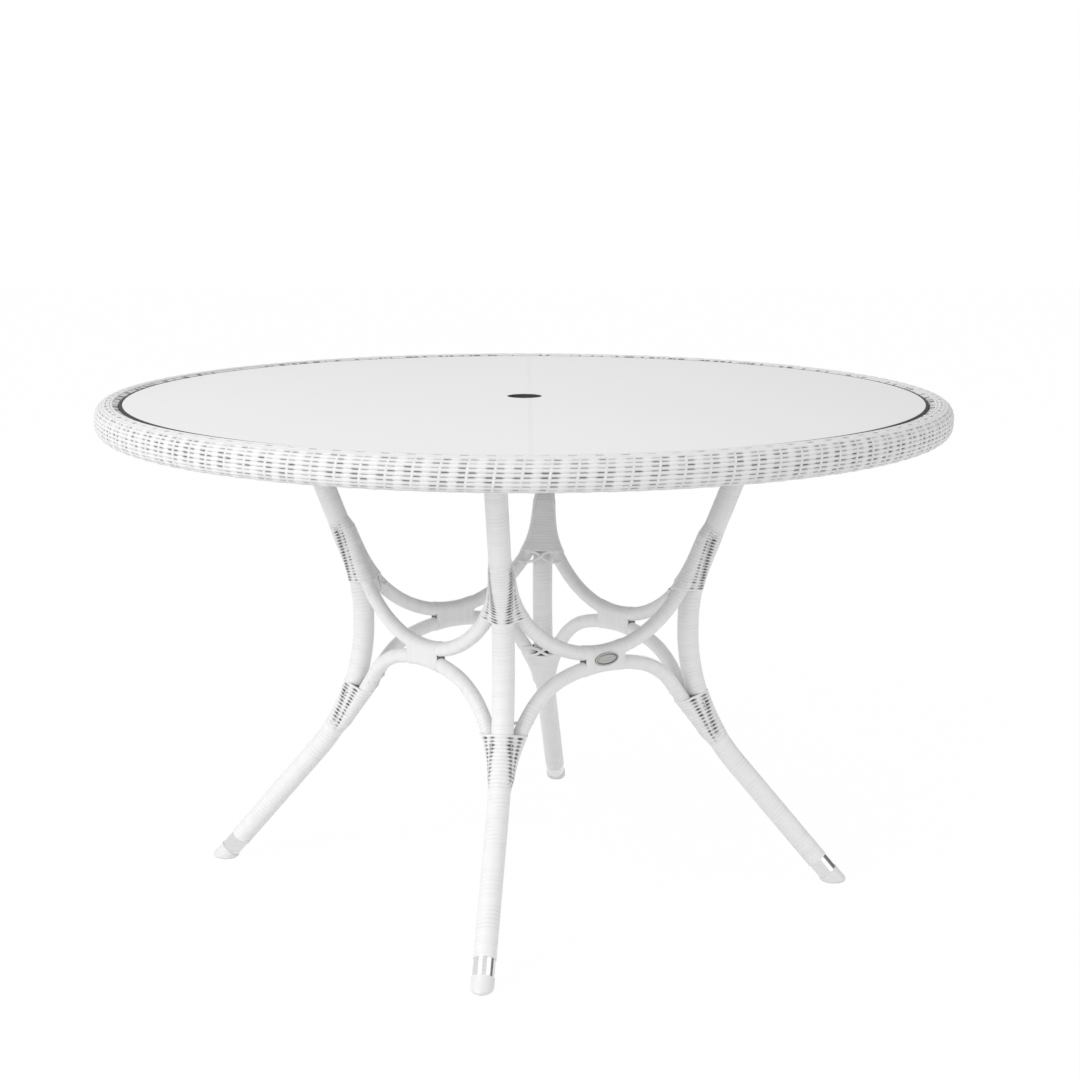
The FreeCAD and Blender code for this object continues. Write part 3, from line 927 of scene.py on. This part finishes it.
def rim_strands(first, last, outline, strengths):
    """Rows of weaving strand round the rim, each a closed ring that narrows beside the stakes."""
    places, edge = row_places(outline, [row + 0.5 for row in range(first, last)])
    steps = rim_groups * group_steps
    bm = bmesh.new()
    painted_shade = bm.verts.layers.float.new("painted_shade")
    closing = {}
    for row, (centre, way) in enumerate(places, first):
        width = row_width if row else edge
        inner = [gap_at(row, step, strengths) for step in range(steps)]
        outer = [gap_at(row + 1, step, strengths) for step in range(steps)]
        made = bmesh.ops.create_grid(bm, x_segments=strand_sides, y_segments=steps, size=1.0)["verts"]
        sheet = {v: (round((v.co.x + 1) / 2 * strand_sides), round((v.co.y + 1) / 2 * steps))
                 for v in made}
        kept = {spot: v for v, spot in sheet.items()}
        for vert, (side, step) in sheet.items():
            side, step = side % strand_sides, step % steps
            angle, bearing = 2 * math.pi * side / strand_sides, 2 * math.pi * step / steps
            across, out = math.cos(angle), math.sin(angle)
            gap = inner[step] if across > 0 else outer[step]
            lift = strand_lift * (1 - inner[step] - outer[step])
            wide = across * width / 2 * (strand_overlap - gap_pinch * gap)
            rise = (out - 1) * strand_thickness / 2 - strand_sink + lift
            reach = centre.x - way.y * wide + way.x * rise
            level = centre.y + way.x * wide + way.y * rise
            vert.co = (reach * math.cos(bearing), reach * math.sin(bearing), level)
            # Painted shade: on a strand's sides where it pinches beside a gap, and on its inner half towards
            # the padding.
            vert[painted_shade] = min(1.0, gap * abs(across) ** 3 + max(0.0, -out) * 0.6)
            if kept[(side, step)] is not vert:
                closing[vert] = kept[(side, step)]
    bmesh.ops.weld_verts(bm, targetmap=closing)
    bmesh.ops.recalc_face_normals(bm, faces=bm.faces)
    return bm


def rim_stakes(outline):
    """The stakes that cross the rows at a slant, one to a group."""
    bm = bmesh.new()
    counts = [rows * k / stake_levels for k in range(stake_levels + 1)]
    turn = 2 * math.pi / rim_groups
    ring = [bm.verts.new((side, 0, 0)) for sink, side in stake_section]
    for pair in zip(ring, ring[1:]):
        bm.edges.new(pair)
    for count, (point, way) in zip(counts, row_places(outline, counts)[0]):
        if count:
            edges = [bm.edges.get(pair) for pair in zip(ring, ring[1:])]
            grown = bmesh.ops.extrude_edge_only(bm, edges=edges)["geom"]
            fresh = {v for v in grown if isinstance(v, bmesh.types.BMVert)}
            ring = [next(e.other_vert(v) for e in v.link_edges if e.other_vert(v) in fresh) for v in ring]
        bearing = turn * (0.5 - row_shift - row_slant * (count - 0.5))
        for vert, (sink, side) in zip(ring, stake_section):
            flat = point + way * (sink - stake_sink)
            vert.co = Matrix.Rotation(bearing, 3, "Z") @ Vector((flat.x, side * stake_width, flat.y))
    bmesh.ops.recalc_face_normals(bm, faces=bm.faces)
    bmesh.ops.spin(bm, geom=bm.verts[:] + bm.edges[:] + bm.faces[:], cent=(0, 0, 0), axis=(0, 0, 1),
                   angle=turn * (rim_groups - 1), steps=rim_groups - 1, use_duplicate=True)
    return bm


def rim_core(outline):
    """The padding under the strands, with the wall and ledge round the glass."""
    bm = bmesh.new()
    inset = strand_thickness * padding_depth
    ring = [point - way * inset for point, way in outline[::padding_every]]
    ring += [Vector((rebate_radius, ledge_level)), Vector((rebate_radius, valley_floor)),
             Vector((valley_radius, ring[0].y - 0.0002))]
    verts = [bm.verts.new((point.x, 0, point.y)) for point in ring]
    for a, b in zip(verts, verts[1:] + verts[:1]):
        bm.edges.new((a, b))
    bmesh.ops.spin(bm, geom=bm.verts[:] + bm.edges[:], cent=(0, 0, 0), axis=(0, 0, 1),
                   angle=2 * math.pi, steps=padding_turns, use_merge=True)
    bmesh.ops.recalc_face_normals(bm, faces=bm.faces)
    return bm


def make_rim(fibre, core):
    """The rim's padding, its strands in three pieces, and its stakes."""
    outline = rim_outline()
    draw = random.Random(gap_seed)
    strengths = [[(draw.uniform(*gap_strengths), draw.uniform(*gap_strengths))
                  for group in range(rim_groups)] for boundary in range(rows + 1)]
    finished("rim_padding", rim_core(outline), core, ["rim_weave"])
    third = rows // 3
    for part, first in (("top", 0), ("side", third), ("underside", 2 * third)):
        bm = rim_strands(first, first + third, outline, strengths)
        finished("rim_strands_" + part, bm, fibre)
    finished("rim_stakes", rim_stakes(outline), fibre)


def make_plate(metal):
    """A bare oval plate with two rivets, on the outer face of the front right side binding."""
    bm = bmesh.new()
    for vert in bmesh.ops.create_circle(bm, cap_ends=True, segments=40, radius=1.0)["verts"]:
        vert.co = (vert.co.x * plate_length / 2, 0.0, vert.co.y * plate_height / 2)
    grown = bmesh.ops.extrude_face_region(bm, geom=bm.faces[:])["geom"]
    verts = [v for v in grown if isinstance(v, bmesh.types.BMVert)]
    bmesh.ops.translate(bm, verts=verts, vec=(0, -plate_thickness, 0))
    bmesh.ops.recalc_face_normals(bm, faces=bm.faces)
    front = [face for face in bm.faces if face.normal.y < -0.9]
    painted_shade = bm.verts.layers.float.new("painted_shade")
    bmesh.ops.inset_region(bm, faces=front, thickness=plate_border, depth=0.0)
    bmesh.ops.inset_region(bm, faces=front, thickness=plate_groove_width, depth=-plate_groove_depth)
    # Painted shade in the plate's sunken groove round its field.
    for vert in front[0].verts:
        vert[painted_shade] = 1.0
    bmesh.ops.inset_region(bm, faces=front, thickness=plate_field_border, depth=plate_field_rise)
    for vert in front[0].verts:
        vert[painted_shade] = 0.0
    for side in (-1, 1):
        made = bmesh.ops.create_uvsphere(bm, u_segments=14, v_segments=8, radius=rivet_radius)["verts"]
        bmesh.ops.scale(bm, verts=made, vec=(1, 0.6, 1))
        bmesh.ops.translate(bm, verts=made,
                            vec=(side * plate_length * rivet_place, -plate_thickness * 0.6, 0))
    face = side_reach + rod_radius + binding_skin + plate_lift
    bmesh.ops.translate(bm, verts=bm.verts, vec=(plate_offset, -face, side_height + plate_rise))
    bmesh.ops.rotate(bm, verts=bm.verts, cent=(0, 0, 0),
                     matrix=Matrix.Rotation(base_turn + math.pi / 4, 3, "Z"))
    finished("side_plate", bm, metal, smooth=False)


def dress(names, look):
    """Give CAD nodes a material in place of their own."""
    for name in names:
        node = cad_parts[name]
        node.data.materials.clear()
        node.data.materials.append(look)


def make_floor():
    """A white floor that keeps a soft shadow."""
    bm = bmesh.new()
    bmesh.ops.create_grid(bm, x_segments=1, y_segments=1, size=floor_reach)
    mesh = bpy.data.meshes.new("floor")
    bm.to_mesh(mesh)
    bm.free()
    floor = bpy.data.objects.new("floor", mesh)
    bpy.context.scene.collection.objects.link(floor)
    finish = material("floor_white")
    matt = finish.node("ShaderNodeBsdfDiffuse", None, {"Color": grey(floor_tone)})
    glow = finish.node("ShaderNodeEmission", None, {"Color": grey(1.0), "Strength": floor_glow})
    share = finish.seen() * floor_glow_share
    mesh.materials.append(finish.show(finish.node("ShaderNodeMixShader", None, {0: share, 1: matt, 2: glow})))


def make_background():
    """A plain soft light from all round, seen as white; reflections find a dimmer corner."""
    finish = Finish(bpy.data.worlds.new("studio"))
    way = finish.node("ShaderNodeTexCoord", output="Generated")
    facing = finish.node("ShaderNodeVectorMath", {"operation": "DOT_PRODUCT"},
                         {0: way, 1: dim_corner}, output="Value")
    glossy = finish.node("ShaderNodeLightPath", output="Is Glossy Ray")
    dimmed = 1 - facing.smooth(*dim_edge) * glossy * dim_depth
    around = finish.node("ShaderNodeBackground", None, {"Color": grey(1.0), "Strength": world_level})
    shown = finish.node("ShaderNodeBackground", None, {"Color": grey(1.0), "Strength": dimmed})
    mixed = finish.node("ShaderNodeMixShader", None, {0: finish.seen(), 1: around, 2: shown})
    bpy.context.scene.world = finish.show(mixed, "ShaderNodeOutputWorld")


def make_lamps():
    """A large key lamp at the left and a weak fill at the right."""
    for name, place, size, power in lamps:
        lamp = bpy.data.lights.new(name, "AREA")
        lamp.size = size
        lamp.energy = power
        body = bpy.data.objects.new(name, lamp)
        body.location = place
        body.rotation_euler = (lamp_target - Vector(place)).to_track_quat("-Z", "Y").to_euler()
        bpy.context.scene.collection.objects.link(body)


def make_camera():
    """The photograph's viewing angle, for a square frame."""
    data = bpy.data.cameras.new("camera")
    data.sensor_width = 36.0
    data.lens = camera_lens
    camera = bpy.data.objects.new("camera", data)
    camera.location = camera_place
    turn = (Matrix.Rotation(-camera_pan, 4, "Z") @ Matrix.Rotation(math.pi / 2 - camera_tilt, 4, "X")
            @ Matrix.Rotation(camera_roll, 4, "Z"))
    camera.rotation_euler = turn.to_euler()
    bpy.context.scene.collection.objects.link(camera)
    bpy.context.scene.camera = camera


make_camera()
make_background()
make_lamps()
make_floor()
bpy.context.scene.view_settings.view_transform = "Standard"

peel = peel_finish("white_peel", grey(0.87), grey(0.72), 0.22)
bound = peel_finish("white_peel_binding", grey(0.87), grey(0.68), 0.16)
fibre = fibre_finish("white_fibre", grey(0.775), grey(0.67))
make_base(peel, bound)
make_rim(fibre, core_finish())
make_plate(metal_finish("plate_metal", (0.52, 0.52, 0.50, 1.0), 0.34))

dress(["glass_top"], glass_finish())
polished = metal_finish("polished_collar", (0.84, 0.84, 0.84, 1.0), 0.10)
dress(["foot_collar_" + leg for leg in LEGS], polished)
dress(["foot_glide_" + leg for leg in LEGS], moulded_finish("white_glide", grey(0.84), grey(0.76), 0.42))
coated = moulded_finish("white_coat", grey(0.80), grey(0.72), 0.38)
dress(["rail_" + leg for leg in LEGS] + ["rim_hoop", "parasol_guide", "base_ring"], coated)
dress(["base_bolts"], metal_finish("plated_bolt", (0.66, 0.66, 0.64, 1.0), 0.28))
dress(["glass_pads"], moulded_finish("soft_pad", grey(0.62), grey(0.54), 0.30))
